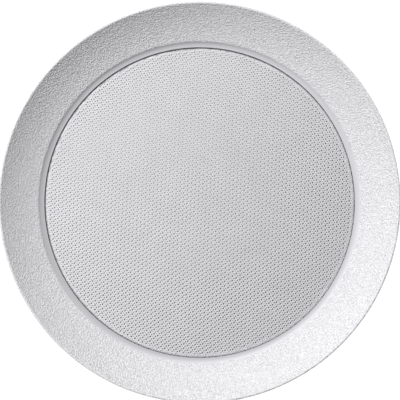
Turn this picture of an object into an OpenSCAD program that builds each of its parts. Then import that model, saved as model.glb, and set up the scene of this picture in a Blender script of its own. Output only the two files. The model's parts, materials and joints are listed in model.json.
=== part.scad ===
// Round pocket speaker that stands on a rubber foot, with its driver under a domed metal grille.
// Millimetres. The origin is at the middle of the foot's underside, +Z is up, +Y is the back.

/* [Housing] */
// Outer diameter of the housing
body_d = 60; // [60:0.5:76]
// Height from the table to the rim
body_h = 66; // [64:0.5:96]
// Thickness of the housing wall
wall = 1.2; // [1:0.1:1.4]
// Chamfer at the housing's lower edge
hem_chamfer = 0.4; // [0.2:0.1:0.8]

/* [Front ring] */
// Width of the blasted dish, seen from above
dish_w = 5.68; // [5.2:0.02:6]
// Drop of the dish from the rim to the lip
dish_depth = 2.4; // [2:0.1:2.8]
// Radius of the dish's hollow section
dish_radius = 22.2; // [16:0.1:40]
// Width of the rim's outer edge break
rim_edge = 0.25; // [0.15:0.05:0.4]
// Width of the polished lip, seen from above
lip_w = 0.83; // [0.5:0.01:1]
// Drop of the polished lip
lip_drop = 0.2; // [0.1:0.05:1]
// Height of the plain wall under the lip
lip_wall = 2.4; // [1.6:0.05:2.6]
// Width of the flat seat under the ring
seat_w = 3.3; // [3:0.1:3.6]

/* [Grille] */
// Gap between the grille and the lip
grille_gap = 0.2; // [0.15:0.05:0.6]
// Thickness of the grille's sheet
grille_t = 0.5; // [0.3:0.05:0.6]
// Rise of the grille's dome
dome_h = 2.2; // [1.6:0.1:2.6]
// Step from the lip down to the edge of the dome
dome_step = 0.15; // [0.05:0.05:0.4]
// Width of the flange that holds the grille under the ring
grille_flange_w = 3; // [2.6:0.1:3.2]
// Diameter of a gap in the grille
hole_d = 2.4; // [1.6:0.1:2.8]
// Spacing of the gaps in the grille
hole_pitch = 3.8; // [3.6:0.1:5]
// Plain margin round the gaps
hole_margin = 1; // [0.6:0.1:2]
// Thickness of the dust cloth
cloth_t = 0.2; // [0.1:0.05:0.3]
// Thickness of the foam seal under the grille's flange
grille_seal_t = 0.3; // [0.2:0.05:0.5]

/* [Base] */
// Drop of the rubber foot below the base plate
foot_drop = 1; // [0.6:0.1:2]
// Depth of the groove that holds the foot
foot_groove = 0.8; // [0.5:0.05:1]
// Width of the rubber foot
foot_w = 6; // [5:0.1:7]
// Bevel on the foot's edges
foot_bevel = 0.3; // [0.1:0.05:0.5]
// Thickness of the base plate
base_t = 2.2; // [2:0.1:3]
// Step from the housing's side in to the base plate
base_step = 0.3; // [0.1:0.05:0.6]
// Chamfer at the base plate's lower edge
base_chamfer = 0.6; // [0.3:0.05:0.9]
// Height of the collar that enters the housing
spigot_h = 3.8; // [3:0.1:6]
// Thickness of that collar
spigot_t = 1.8; // [1.2:0.1:2.2]
// Height of the screw pads on the base plate
pad_h = 2.3; // [2:0.1:3]

/* [Screws] */
// Diameter of a base screw's shank
base_screw_d = 1.9; // [1.6:0.1:2.2]
// Length of a base screw's shank
base_screw_l = 8.2; // [6:0.1:12]
// Diameter of a base screw's head
base_head_d = 3.8; // [3.4:0.1:4]
// Height of a base screw's head
base_head_h = 1.2; // [1:0.05:1.2]
// Diameter of a board screw's shank
board_screw_d = 1.6; // [1.4:0.1:1.8]
// Length of a board screw's shank
board_screw_l = 5.5; // [4:0.1:6]
// Diameter of a board screw's head
board_head_d = 3.2; // [2.8:0.1:3.6]
// Height of a board screw's head
board_head_h = 1.1; // [0.8:0.1:1.4]
// Diameter of a driver screw's shank
driver_screw_d = 1.8; // [1.4:0.1:1.8]
// Length of a driver screw's shank
driver_screw_l = 3.7; // [3:0.1:4]
// Diameter of a driver screw's head
driver_head_d = 2.8; // [2.4:0.1:3]
// Height of a driver screw's head
driver_head_h = 1; // [0.8:0.1:1.2]

/* [Buttons] */
// Width of a button's cap
key_w = 5.6; // [5:0.1:5.8]
// Height of a button's cap
key_h = 2.8; // [2.4:0.1:2.8]
// How far a button stands proud of the housing
key_proud = 0.35; // [0.2:0.05:0.6]
// Travel of a button
key_travel = 0.25; // [0.2:0.05:0.3]
// Gap between a button and its window
key_clear = 0.15; // [0.1:0.05:0.2]
// Width of the lip that keeps a button in
key_lip = 0.8; // [0.6:0.1:0.8]
// Thickness of that lip
key_lip_t = 1; // [0.8:0.1:1.1]
// Gap between that lip and the wall
key_gap = 0.1; // [0.05:0.05:0.15]
// Diameter of the nub behind a button
nub_d = 2; // [1.6:0.1:2.2]
// Length of that nub
nub_l = 1.2; // [1:0.1:1.3]
// Spacing of the buttons along the housing's side
key_pitch = 8.35; // [8.35:0.05:8.9]

/* [Switches] */
// Width of a switch body
switch_w = 4.4; // [4:0.1:4.8]
// Depth of a switch body
switch_l = 3.4; // [3:0.1:4]
// Height of a switch body
switch_h = 3.2; // [3:0.1:3.6]
// Diameter of a switch plunger
plunger_d = 1.9; // [1.4:0.1:2]
// Visible length of a switch plunger
plunger_out = 0.95; // [0.9:0.05:1.1]
// Hidden length of a switch plunger
plunger_in = 0.4; // [0.3:0.05:0.5]

/* [Charging socket] */
// Width of the socket's shell
usb_w = 8.94; // [8.9:0.02:9]
// Height of the socket's shell
usb_h = 3.2; // [3.1:0.02:3.26]
// Length of the socket's shell
usb_l = 7.3; // [6.6:0.1:7.4]
// Thickness of the socket's shell
usb_t = 0.3; // [0.2:0.05:0.3]
// Depth of the socket's mouth behind the housing's side
usb_recess = 1.05; // [0.9:0.05:1.15]
// Gap between the socket and its window
usb_clear = 0.2; // [0.15:0.05:0.3]
// Width of the contact tongue
tongue_w = 6.7; // [6.5:0.1:6.8]
// Thickness of the contact tongue
tongue_t = 0.7; // [0.6:0.05:0.8]
// Depth of the block that holds the tongue
tongue_block = 1.5; // [1:0.1:2]

/* [Status light and microphone] */
// Diameter of the light pipe
pipe_d = 1.5; // [1.2:0.1:1.8]
// Diameter of the light pipe's collar
pipe_collar_d = 2.6; // [2.4:0.1:3]
// Thickness of that collar
pipe_collar_t = 0.7; // [0.5:0.1:1]
// Side of the light's chip
led_size = 2.4; // [2:0.1:2.6]
// Diameter of the microphone
mic_d = 2.6; // [2.2:0.1:2.6]
// Length of the microphone
mic_l = 1.5; // [1:0.1:1.6]
// Thickness of the rubber boot round it
boot_t = 0.28; // [0.2:0.02:0.3]
// Length of the boot
boot_l = 3.1; // [2.8:0.1:3.4]
// Diameter of the sound hole
mic_hole_d = 0.9; // [0.6:0.1:1.2]

/* [Main board] */
// Height of the board over the base plate
board_lift = 12.8; // [12.6:0.1:16]
// Thickness of the board
board_t = 1.2; // [1:0.1:1.6]
// Gap between the board's edge and the housing
board_gap = 1.8; // [1.4:0.1:2.2]
// Clear height over the board
board_room = 5.8; // [5.6:0.1:7]
// Distance of the board's screws from the housing's wall
post_inset = 11.3; // [10.8:0.1:12.3]
// Diameter of a board post
post_d = 4; // [3.6:0.1:4.4]

/* [Battery] */
// Distance of the battery cell's sides from the housing's wall
cell_side_gap = 11.8; // [10.8:0.1:13.8]
// Distance of the battery cell's ends from the housing's wall
cell_end_gap = 14.8; // [14.8:0.1:16.8]
// Thickness of the battery cell
cell_h = 8; // [6:0.1:8.2]
// Corner radius of the battery cell
cell_r = 2; // [1.5:0.1:3]
// Thickness of the adhesive pad under the cell
cell_pad_t = 1; // [0.5:0.1:1.2]
// Thickness of the ribs beside the cell
rib_t = 1; // [0.8:0.1:1.4]
// Height of the ribs beside the cell
rib_h = 4; // [2:0.1:6]
// Gap between the cell and its ribs
rib_gap = 0.3; // [0.2:0.05:0.6]

/* [Sealed chamber] */
// Gap between the chamber and the housing
chamber_gap = 0.4; // [0.3:0.05:0.8]
// Wall thickness of the chamber
chamber_t = 2; // [1.6:0.1:2.4]
// Diameter of a screw boss under the chamber
boss_d = 5.6; // [5:0.1:5.8]
// Distance of the screw bosses from the housing's wall
boss_inset = 4.3; // [3.8:0.1:4.4]
// Depth of the recess round the driver
collar_h = 4.7; // [4:0.1:6]
// Thickness of the ledge that carries the driver
ledge_t = 3; // [2.6:0.1:4]
// Height of the baffle's spigot in the chamber
baffle_spigot_h = 3; // [2:0.1:4]
// Thickness of the seal between baffle and chamber
chamber_seal_t = 0.4; // [0.3:0.05:0.6]
// Gap between the felt pad and the grommet
felt_gap = 0.5; // [0.5:0.5:8]
// Thickness of the felt pad
felt_t = 4; // [2:0.5:8]

/* [Driver] */
// Distance of the driver's edge from the housing's wall
driver_inset = 4.8; // [4.7:0.05:5.3]
// Thickness of the basket's flange
flange_t = 1; // [0.8:0.1:1.2]
// Thickness of the gasket under the flange
gasket_t = 0.5; // [0.3:0.05:0.8]
// Width of the basket's flange
flange_w = 4.2; // [4:0.1:4.4]
// Depth of the basket
basket_depth = 10; // [9.5:0.1:11]
// Wall thickness of the basket
basket_t = 0.85; // [0.7:0.05:1]
// Diameter of the openings in the basket
basket_window_d = 5; // [3:0.1:5.4]
// Step from the basket's flange out to the surround's roll
roll_step = 0.2; // [0.1:0.05:0.4]
// Width of the surround's roll
roll_w = 3; // [2.8:0.05:3.2]
// Thickness of the surround
surround_t = 0.3; // [0.25:0.05:0.4]
// Height of the cone
cone_h = 5.3; // [4.8:0.1:5.6]
// Thickness of the cone
cone_t = 0.45; // [0.3:0.05:0.5]
// Diameter of the dust cap
cap_d = 15.2; // [14.4:0.1:16]
// Rise of the dust cap
cap_h = 2; // [1.5:0.1:3]
// Thickness of the dust cap
cap_t = 0.3; // [0.2:0.05:0.4]
// Bore of the voice coil's former
former_d = 12.7; // [12.6:0.02:12.8]
// Thickness of the former
former_t = 0.15; // [0.1:0.01:0.18]
// Thickness of the winding
winding_t = 0.42; // [0.3:0.02:0.44]
// Height of the winding
winding_h = 4; // [3:0.1:4.4]
// Travel of the cone each way
cone_travel = 1.2; // [0.5:0.1:1.3]
// Diameter of the yoke
yoke_d = 21; // [20:0.1:23]
// Height of the yoke
yoke_h = 9.5; // [9:0.1:11]
// Thickness of the yoke's floor
yoke_floor = 2; // [1.6:0.1:2.4]
// Bore of the yoke
yoke_bore = 14.6; // [14.5:0.02:14.8]
// Diameter of the magnet
magnet_d = 12; // [11:0.1:12.2]
// Height of the magnet
magnet_h = 4.5; // [4:0.1:4.8]
// Diameter of the pole washer
pole_d = 12.3; // [12:0.02:12.4]
// Thickness of the pole washer
pole_t = 2.5; // [2:0.1:2.6]
// Thickness of the spider
spider_t = 0.3; // [0.2:0.05:0.4]

/* [Wiring] */
// Diameter of a speaker lead
lead_d = 1.2; // [0.8:0.1:1.3]
// Spacing of the speaker leads
lead_pitch = 1.8; // [1.6:0.1:2.2]
// Diameter of a battery lead
cell_lead_d = 1; // [0.8:0.1:1.2]
// Diameter of the grommet
grommet_d = 5.2; // [5:0.1:5.4]
// Depth of the grommet's groove
grommet_groove = 0.4; // [0.3:0.05:0.5]

/* [Hidden] */
$fn = 96;

// Room left past a face by a cutting shape
over = 1;
// Gap between glued or soldered curved faces
glue = 0.03;
// Radial room of a screw in its hole
hole_room = 0.05;
// Radial room of a screw in a part that it clamps
clear_room = 0.2;
// Depth of a blind hole past its screw
hole_tail = 0.3;
// Room between a flat piece and the edge beside it
edge_room = 0.2;

// Housing and front ring
body_r = body_d / 2;
bore_r = body_r - wall;
shell_z = foot_drop + base_t;
rim_z = body_h;
lip_r = body_r - rim_edge - dish_w;
lip_z = rim_z - dish_depth;
opening_r = lip_r - lip_w;
lip_low_z = lip_z - lip_drop;
seat_z = lip_low_z - lip_wall;
seat_r = opening_r + seat_w;
dish_chord = norm([dish_w, dish_depth]);
dish_sink = sqrt(pow(dish_radius, 2) - pow(dish_chord / 2, 2));
dish_at = [
    lip_r + dish_w / 2 - dish_sink * dish_depth / dish_chord,
    lip_z + dish_depth / 2 + dish_sink * dish_w / dish_chord
];

// Grille
grille_r = opening_r - grille_gap;
grille_edge_z = lip_low_z - dome_step;
dome_r = (pow(grille_r, 2) + pow(dome_h, 2)) / (2 * dome_h);
dome_cz = grille_edge_z + dome_h - dome_r;
grille_low_z = seat_z - grille_t;
grille_flange_r = grille_r + grille_flange_w;
baffle_top_z = grille_low_z - grille_seal_t;

// Base and foot
base_r = body_r - base_step;
spigot_gap = 0.3;
spigot_r = bore_r - spigot_gap;
boss_at = bore_r - boss_inset;
boss_angles = [30, 150, 270];
foot_out_r = boss_at + foot_w / 2;
foot_in_r = boss_at - foot_w / 2;
foot_room = 0.1;
groove_z = foot_drop + foot_groove;
screw_seat_z = groove_z + base_head_h + clear_room;
pad_z = shell_z + pad_h;

// Battery
cell_w = 2 * (bore_r - cell_side_gap);
cell_l = 2 * (bore_r - cell_end_gap);
rib_end = 5.5;
rib_l = cell_l - 2 * rib_end;
cell_pad_inset = 1;

// Heights of the inner pieces, from the base up
cell_z = shell_z + cell_pad_t;
board_z = shell_z + board_lift;
board_top_z = board_z + board_t;
board_r = bore_r - board_gap;
board_notch_room = 0.4;
floor_z = board_top_z + board_room;
floor_top_z = floor_z + chamber_t;

// Heights of the sealed chamber and its driver, from the ring down
chamber_r = bore_r - chamber_gap;
chamber_in_r = chamber_r - chamber_t;
ledge_z = baffle_top_z - collar_h;
shoulder_z = ledge_z - ledge_t;
chamber_top_z = shoulder_z - chamber_seal_t;
flange_z = ledge_z + gasket_t;
flange_top_z = flange_z + flange_t;
driver_r = bore_r - driver_inset;
throat_r = driver_r - flange_w;
roll_out = throat_r + roll_step;
roll_in = roll_out - roll_w;
driver_room = 0.4;
baffle_spigot_r = chamber_in_r - spigot_gap;
baffle_spigot_t = 1.8;
recess_r = driver_r + driver_room;
throat_gap = 1;
throat_hole_r = throat_r + throat_gap;
driver_screw_inset = 1.6;
driver_screw_at = driver_r - driver_screw_inset;
driver_screw_angles = [45:90:315];

// Basket, from the flange down
basket_low_z = flange_z - basket_depth;
spider_shelf_rise = 2.8;
spider_shelf_z = basket_low_z + spider_shelf_rise;
spider_shelf_in = 11.6;
spider_shelf_out = 14.6;
basket_run = [throat_r - spider_shelf_out, flange_top_z - spider_shelf_z];
basket_side = basket_t * norm(basket_run) / basket_run[1];
basket_hole_r = 7.9;
spider_collar = 0.8;

// Motor
yoke_r = yoke_d / 2;
yoke_z = basket_low_z - yoke_h;
magnet_z = yoke_z + yoke_floor;
pole_z = magnet_z + magnet_h;
winding_z = pole_z + pole_t / 2 - winding_h / 2;
former_in_r = former_d / 2;
former_out_r = former_in_r + former_t;
former_tail = 0.25;
former_z = winding_z - former_tail;

// Cone and dust cap
cone_edge_z = flange_top_z;
cone_lip_r = roll_in;
cone_lip_w = 1.2;
cone_top_r = roll_in - cone_lip_w;
neck_r = former_out_r + glue;
cone_slope = cone_h / (cone_top_r - neck_r);
neck_z = cone_edge_z - cone_h;
former_stand = 0.3;
former_top_z = neck_z + former_stand;
cap_r = cap_d / 2;
cap_z = neck_z + (cap_r - neck_r) * cone_slope + 2 * glue;
cap_ball_r = (pow(cap_r, 2) + pow(cap_h, 2)) / (2 * cap_h);
cap_cz = cap_z + cap_h - cap_ball_r;

// Controls on the back
key_z = board_top_z + usb_h / 2 + glue;
volume_down_angle = 78;
usb_pitch = 10.42;
light_pitch = 7.31;
mic_pitch = 8.35;
power_angle = volume_down_angle - side_angle(key_pitch);
volume_up_angle = volume_down_angle + side_angle(key_pitch);
usb_angle = volume_up_angle + side_angle(usb_pitch);
light_angle = power_angle - side_angle(light_pitch);
mic_angle = usb_angle + side_angle(mic_pitch);
key_angles = [power_angle, volume_down_angle, volume_up_angle];
key_lip_y = bore_r - key_gap - key_lip_t;
nub_y = key_lip_y - nub_l;
plunger_gap = 0.05;
switch_y = nub_y - plunger_gap - plunger_out;
plunger_room = 0.1;
plunger_stop = 0.25;
switch_bore_l = plunger_in + key_travel + plunger_stop;
usb_mouth_y = body_r - usb_recess;
usb_back_y = usb_mouth_y - usb_l;
tongue_back = 0.8;
pipe_room = 0.1;
pipe_y = body_r - pipe_room;
light_gap = 0.2;
light_back = 3.2;
light_y = bore_r - light_back;
boot_gap = 0.25;
boot_y = bore_r - boot_gap;
boot_nose = 1.35;
mic_y = boot_y - boot_nose;

// Places on the board
processor_at = [-6, -3];
processor_size = [7, 7, 1];
amplifier_at = [7, -3];
amplifier_size = [5, 5, 1];
inductor_size = [4, 4, 2];
inductor_ats = [[5, 5], [10.5, 5]];
capacitor_d = 4;
capacitor_h = 4.8;
capacitor_edge = 10;
capacitor_step = 5;
capacitor_ats = [
    [capacitor_edge + capacitor_step - board_r, 7],
    [capacitor_edge - board_r, 5]
];
antenna_edge = 6.5;
antenna_at = [10.5, antenna_edge - board_r];
antenna_size = [8, 2, 1.2];
post_at = bore_r - post_inset;
post_angles = [90, 210, 330];

// Wiring
lead_angle = 240;
terminal_size = [9, 0.7, 4.5];
terminal_drop = 0.5;
terminal_top_z = shoulder_z - terminal_drop;
terminal_z = terminal_top_z - terminal_size[2];
solder_gap = 0.1;
terminal_rise = terminal_top_z - spider_shelf_z;
terminal_in_y = spider_shelf_out + basket_side + solder_gap
    + terminal_rise * basket_run[0] / basket_run[1];
terminal_y = terminal_in_y + terminal_size[1];
lead_y = terminal_y + solder_gap + lead_d / 2;
lead_top_z = terminal_z + terminal_size[2] / 2;
felt_r = lead_y - grommet_d / 2 - felt_gap;
speaker_socket = [5, 3.6, 3];
battery_socket = [6, 4, 3];
battery_socket_room = 5.5;
battery_socket_y = battery_socket_room - boss_at;
protection_size = [16, 0.9, 5];
protection_gap = 0.2;
protection_rise = 1;
protection_z = cell_z + protection_rise;
cell_lead_pitch = 2.4;
grommet_lip = 0.6;

// Angle that spans a straight distance at the housing's side
function side_angle(pitch) = 2 * asin(pitch / body_d);

// Shapes used more than once
module at_angle(a) {
    rotate([0, 0, a - 90]) children();
}

module outward(y, z) {
    translate([0, y, z]) rotate([-90, 0, 0]) children();
}

module disc(r, z0, z1) {
    translate([0, 0, z0]) cylinder(r = r, h = z1 - z0);
}

module tube(r_out, r_in, z0, z1) {
    difference() {
        disc(r_out, z0, z1);
        disc(r_in, z0 - over, z1 + over);
    }
}

module stadium(w, h) {
    square([w - h, h], center = true);
    for (side = [-1, 1])
        translate([side * (w - h) / 2, 0]) circle(d = h);
}

module rounded(w, l, r) {
    square([w - 2 * r, l], center = true);
    square([w, l - 2 * r], center = true);
    for (x = [-1, 1], y = [-1, 1])
        translate([x * (w / 2 - r), y * (l / 2 - r)]) circle(r = r);
}

module on_board(at, size) {
    translate([at[0] - size[0] / 2, at[1] - size[1] / 2, board_top_z]) cube(size);
}

module screw(head_d, head_h, shank_d, shank_l) {
    difference() {
        translate([0, 0, -head_h]) cylinder(d = head_d, h = head_h);
        translate([0, 0, -head_h - over]) cylinder(d = head_d / 2, h = over + head_h / 2, $fn = 6);
    }
    cylinder(d = shank_d, h = shank_l);
}

// Housing and grille
module housing_section() {
    difference() {
        polygon([
            [bore_r, shell_z],
            [body_r - hem_chamfer, shell_z],
            [body_r, shell_z + hem_chamfer],
            [body_r, rim_z - rim_edge],
            [body_r - rim_edge, rim_z],
            [opening_r, rim_z],
            [opening_r, seat_z],
            [seat_r, seat_z],
            [bore_r, seat_z + bore_r - seat_r]
        ]);
        translate(dish_at) circle(r = dish_radius, $fn = 192);
        polygon([
            [opening_r - lip_w, lip_low_z - lip_drop],
            [lip_r, lip_z],
            [lip_r, rim_z],
            [opening_r - lip_w, rim_z]
        ]);
    }
}

module housing() {
    color("Gainsboro") difference() {
        rotate_extrude($fn = 192) housing_section();
        for (a = key_angles)
            at_angle(a) outward(bore_r - over, key_z) linear_extrude(wall + 2 * over)
                stadium(key_w + 2 * key_clear, key_h + 2 * key_clear);
        at_angle(usb_angle) outward(bore_r - over, key_z) linear_extrude(wall + 2 * over)
            stadium(usb_w + 2 * usb_clear, usb_h + 2 * usb_clear);
        at_angle(light_angle) outward(bore_r - over, key_z)
            cylinder(r = pipe_d / 2 + pipe_room, h = wall + 2 * over);
        at_angle(mic_angle) outward(bore_r - over, key_z)
            cylinder(d = mic_hole_d, h = wall + 2 * over);
    }
}

module dome_section(ball_r, thick, edge_r) {
    intersection() {
        translate([0, dome_cz]) difference() {
            circle(r = ball_r, $fn = 360);
            circle(r = ball_r - thick, $fn = 360);
        }
        translate([0, seat_z]) square([edge_r, rim_z - seat_z]);
    }
}

module grille_gaps() {
    reach = grille_r - grille_t - hole_margin - hole_d / 2;
    row_step = hole_pitch * sqrt(3) / 2;
    rows = floor(reach / row_step);
    for (row = [-rows:rows]) {
        shift = row % 2 == 0 ? 0 : hole_pitch / 2;
        columns = ceil(reach / hole_pitch);
        for (column = [-columns:columns]) {
            x = column * hole_pitch + shift;
            y = row * row_step;
            if (norm([x, y]) <= reach)
                translate([x, y, seat_z]) cylinder(d = hole_d, h = rim_z - seat_z, $fn = 24);
        }
    }
}

module grille() {
    color("Silver") difference() {
        rotate_extrude() {
            dome_section(dome_r, grille_t, grille_r);
            translate([grille_r - grille_t, grille_low_z])
                square([grille_t, grille_edge_z - grille_low_z]);
            translate([grille_r - grille_t, grille_low_z])
                square([grille_flange_r - grille_r + grille_t, grille_t]);
        }
        grille_gaps();
    }
}

module dust_cloth() {
    color("DimGray") rotate_extrude()
        dome_section(dome_r - grille_t - glue, cloth_t, grille_r - grille_t - edge_room);
}

module grille_seal() {
    color("DimGray") tube(grille_flange_r, recess_r + edge_room, baffle_top_z, grille_low_z);
}

// Base, foot and their screws
module base_section() {
    polygon([
        [0, foot_drop],
        [base_r - base_chamfer, foot_drop],
        [base_r, foot_drop + base_chamfer],
        [base_r, shell_z],
        [0, shell_z]
    ]);
}

module base_plate() {
    color("LightGray") difference() {
        union() {
            rotate_extrude() base_section();
            tube(spigot_r, spigot_r - spigot_t, shell_z - base_t / 2, shell_z + spigot_h);
            for (a = boss_angles)
                at_angle(a) translate([0, boss_at, 0])
                    disc(boss_d / 2, shell_z - base_t / 2, pad_z);
            for (side = [-1, 1])
                translate([side * (cell_w / 2 + rib_gap + rib_t / 2), 0, shell_z + rib_h / 2])
                    cube([rib_t, rib_l, rib_h], center = true);
        }
        tube(foot_out_r + foot_room, foot_in_r - foot_room, foot_drop - over, groove_z);
        for (a = boss_angles)
            at_angle(a) translate([0, boss_at, 0]) {
                disc(base_head_d / 2 + clear_room, groove_z - over, screw_seat_z);
                disc(base_screw_d / 2 + clear_room, groove_z - over, pad_z + over);
                disc(boss_d / 2 + edge_room, pad_z, shell_z + spigot_h + over);
            }
    }
}

module foot_ring() {
    color("DimGray") rotate_extrude() polygon([
        [foot_in_r, foot_bevel],
        [foot_in_r + foot_bevel, 0],
        [foot_out_r - foot_bevel, 0],
        [foot_out_r, foot_bevel],
        [foot_out_r, groove_z],
        [foot_in_r, groove_z]
    ]);
}

module base_screws() {
    color("SlateGray") for (a = boss_angles)
        at_angle(a) translate([0, boss_at, screw_seat_z])
            screw(base_head_d, base_head_h, base_screw_d, base_screw_l);
}

// Buttons and their switches
module button(a) {
    at_angle(a) {
        intersection() {
            outward(key_lip_y, key_z) linear_extrude(body_r) stadium(key_w, key_h);
            disc(body_r + key_proud, key_z - key_h, key_z + key_h);
        }
        intersection() {
            outward(key_lip_y, key_z) linear_extrude(body_r)
                stadium(key_w + 2 * key_lip, key_h + 2 * key_lip);
            disc(bore_r - key_gap, key_z - key_h - key_lip, key_z + key_h + key_lip);
        }
        outward(nub_y, key_z) cylinder(d = nub_d, h = nub_l + key_lip_t / 2);
    }
}

module power_button() {
    color("WhiteSmoke") button(power_angle);
}

module volume_down_button() {
    color("WhiteSmoke") button(volume_down_angle);
}

module volume_up_button() {
    color("WhiteSmoke") button(volume_up_angle);
}

module plunger(a) {
    at_angle(a) outward(switch_y - plunger_in, key_z)
        cylinder(d = plunger_d, h = plunger_in + plunger_out);
}

module power_plunger() {
    color("Black") plunger(power_angle);
}

module volume_down_plunger() {
    color("Black") plunger(volume_down_angle);
}

module volume_up_plunger() {
    color("Black") plunger(volume_up_angle);
}

module switch_bodies() {
    color("DarkGray") for (a = key_angles)
        at_angle(a) difference() {
            translate([-switch_w / 2, switch_y - switch_l, board_top_z])
                cube([switch_w, switch_l, switch_h]);
            outward(switch_y - switch_bore_l, key_z)
                cylinder(r = plunger_d / 2 + plunger_room, h = switch_bore_l + over);
        }
}

// Charging socket, status light and microphone
module usb_shell() {
    color("Silver") at_angle(usb_angle) difference() {
        outward(usb_back_y, key_z) linear_extrude(usb_l) stadium(usb_w, usb_h);
        outward(usb_back_y + usb_t, key_z) linear_extrude(usb_l)
            stadium(usb_w - 2 * usb_t, usb_h - 2 * usb_t);
    }
}

module usb_tongue() {
    block_h = usb_h - 2 * usb_t - 2 * glue;
    block_w = usb_w - 2 * usb_t - 2 * glue;
    color("Black") at_angle(usb_angle) {
        outward(usb_back_y + usb_t, key_z) linear_extrude(tongue_block) stadium(block_w, block_h);
        translate([-tongue_w / 2, usb_back_y + usb_t, key_z - tongue_t / 2])
            cube([tongue_w, usb_l - usb_t - tongue_back, tongue_t]);
    }
}

module light_pipe() {
    color("White") at_angle(light_angle) {
        outward(light_y + light_gap, key_z)
            cylinder(d = pipe_d, h = pipe_y - light_y - light_gap);
        intersection() {
            outward(bore_r - key_gap - pipe_collar_t, key_z)
                cylinder(d = pipe_collar_d, h = pipe_collar_t + over);
            disc(bore_r - key_gap, key_z - pipe_collar_d, key_z + pipe_collar_d);
        }
    }
}

module light_chip() {
    color("LightYellow") at_angle(light_angle)
        translate([-led_size / 2, light_y - led_size / 2, board_top_z])
            cube([led_size, led_size / 2, led_size]);
}

module microphone() {
    color("Gold") at_angle(mic_angle) outward(mic_y - mic_l, key_z) cylinder(d = mic_d, h = mic_l);
}

module microphone_boot() {
    boot_r = mic_d / 2 + glue + boot_t;
    color("Black") at_angle(mic_angle) difference() {
        outward(boot_y - boot_l, key_z) cylinder(r = boot_r, h = boot_l);
        outward(boot_y - boot_l - over, key_z)
            cylinder(r = mic_d / 2 + glue, h = boot_l + over - (boot_y - mic_y));
        outward(mic_y - over, key_z) cylinder(d = mic_hole_d, h = 2 * over + boot_y - mic_y);
    }
}

// Main board and what is soldered on it
module main_board() {
    color("DarkGreen") difference() {
        disc(board_r, board_z, board_top_z);
        for (a = boss_angles)
            at_angle(a) translate([0, boss_at, 0])
                disc(boss_d / 2 + board_notch_room, board_z - over, board_top_z + over);
        for (a = post_angles)
            at_angle(a) translate([0, post_at, 0])
                disc(board_screw_d / 2 + clear_room, board_z - over, board_top_z + over);
    }
}

module board_screws() {
    color("SlateGray") for (a = post_angles)
        at_angle(a) translate([0, post_at, board_z])
            screw(board_head_d, board_head_h, board_screw_d, board_screw_l);
}

module processor_chip() {
    color("Black") on_board(processor_at, processor_size);
}

module amplifier_chip() {
    color("Black") on_board(amplifier_at, amplifier_size);
}

module inductors() {
    color("DimGray") for (at = inductor_ats) on_board(at, inductor_size);
}

module capacitors() {
    color("Silver") for (at = capacitor_ats)
        translate([at[0], at[1], 0]) disc(capacitor_d / 2, board_top_z, board_top_z + capacitor_h);
}

module antenna() {
    color("White") on_board(antenna_at, antenna_size);
}

module battery_connector() {
    color("Ivory") translate([
        -battery_socket[0] / 2,
        battery_socket_y - battery_socket[1] / 2,
        board_z - battery_socket[2]
    ]) cube(battery_socket);
}

module speaker_connector() {
    color("Ivory") at_angle(lead_angle)
        translate([-speaker_socket[0] / 2, lead_y - speaker_socket[1] / 2, board_top_z])
            cube(speaker_socket);
}

// Battery
module battery_cell() {
    color("SteelBlue") translate([0, 0, cell_z]) linear_extrude(cell_h)
        rounded(cell_w, cell_l, cell_r);
}

module battery_pad() {
    color("White") translate([0, 0, shell_z]) linear_extrude(cell_pad_t)
        square([cell_w - 2 * cell_pad_inset, cell_l - 2 * cell_pad_inset], center = true);
}

module protection_board() {
    color("DarkGreen") translate([
        -protection_size[0] / 2,
        -cell_l / 2 - protection_gap - protection_size[1],
        protection_z
    ]) cube(protection_size);
}

module battery_leads() {
    lead_r = cell_lead_d / 2;
    start_y = -cell_l / 2 - protection_gap - protection_size[1];
    run_z = protection_z + protection_size[2] / 2;
    color("Red") for (side = [-1, 1])
        translate([side * cell_lead_pitch / 2, 0, 0]) {
            translate([0, start_y, run_z]) rotate([90, 0, 0])
                cylinder(r = lead_r, h = start_y - battery_socket_y);
            translate([0, battery_socket_y, run_z]) sphere(r = lead_r);
            translate([0, battery_socket_y, 0])
                disc(lead_r, run_z, board_z - battery_socket[2]);
        }
}

// Sealed chamber
module rear_chamber() {
    color("DarkSlateGray") difference() {
        union() {
            difference() {
                disc(chamber_r, floor_z, chamber_top_z);
                disc(chamber_in_r, floor_top_z, chamber_top_z + over);
            }
            for (a = boss_angles)
                at_angle(a) translate([0, boss_at, 0])
                    disc(boss_d / 2, pad_z, floor_z + chamber_t / 2);
            for (a = post_angles)
                at_angle(a) translate([0, post_at, 0])
                    disc(post_d / 2, board_top_z, floor_z + chamber_t / 2);
        }
        for (a = boss_angles)
            at_angle(a) translate([0, boss_at, 0])
                disc(base_screw_d / 2 + hole_room, pad_z - over, screw_seat_z + base_screw_l + hole_tail);
        for (a = post_angles)
            at_angle(a) translate([0, post_at, 0])
                disc(board_screw_d / 2 + hole_room, board_top_z - over,
                    board_z + board_screw_l + hole_tail);
        at_angle(lead_angle) translate([0, lead_y, 0])
            disc(grommet_d / 2 - grommet_groove + glue, floor_z - over, floor_top_z + over);
    }
}

module baffle() {
    color("DarkSlateGray") difference() {
        union() {
            disc(chamber_r, shoulder_z, baffle_top_z);
            disc(baffle_spigot_r, shoulder_z - baffle_spigot_h, shoulder_z + over);
        }
        disc(recess_r, ledge_z, baffle_top_z + over);
        disc(throat_hole_r, shoulder_z - over, ledge_z + over);
        disc(baffle_spigot_r - baffle_spigot_t, shoulder_z - baffle_spigot_h - over, shoulder_z);
        for (a = driver_screw_angles)
            at_angle(a) translate([0, driver_screw_at, 0])
                disc(driver_screw_d / 2 + hole_room, flange_top_z - driver_screw_l - hole_tail,
                    ledge_z + over);
    }
}

module chamber_seal() {
    color("DimGray") tube(chamber_r - edge_room, chamber_in_r + edge_room, chamber_top_z, shoulder_z);
}

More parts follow.
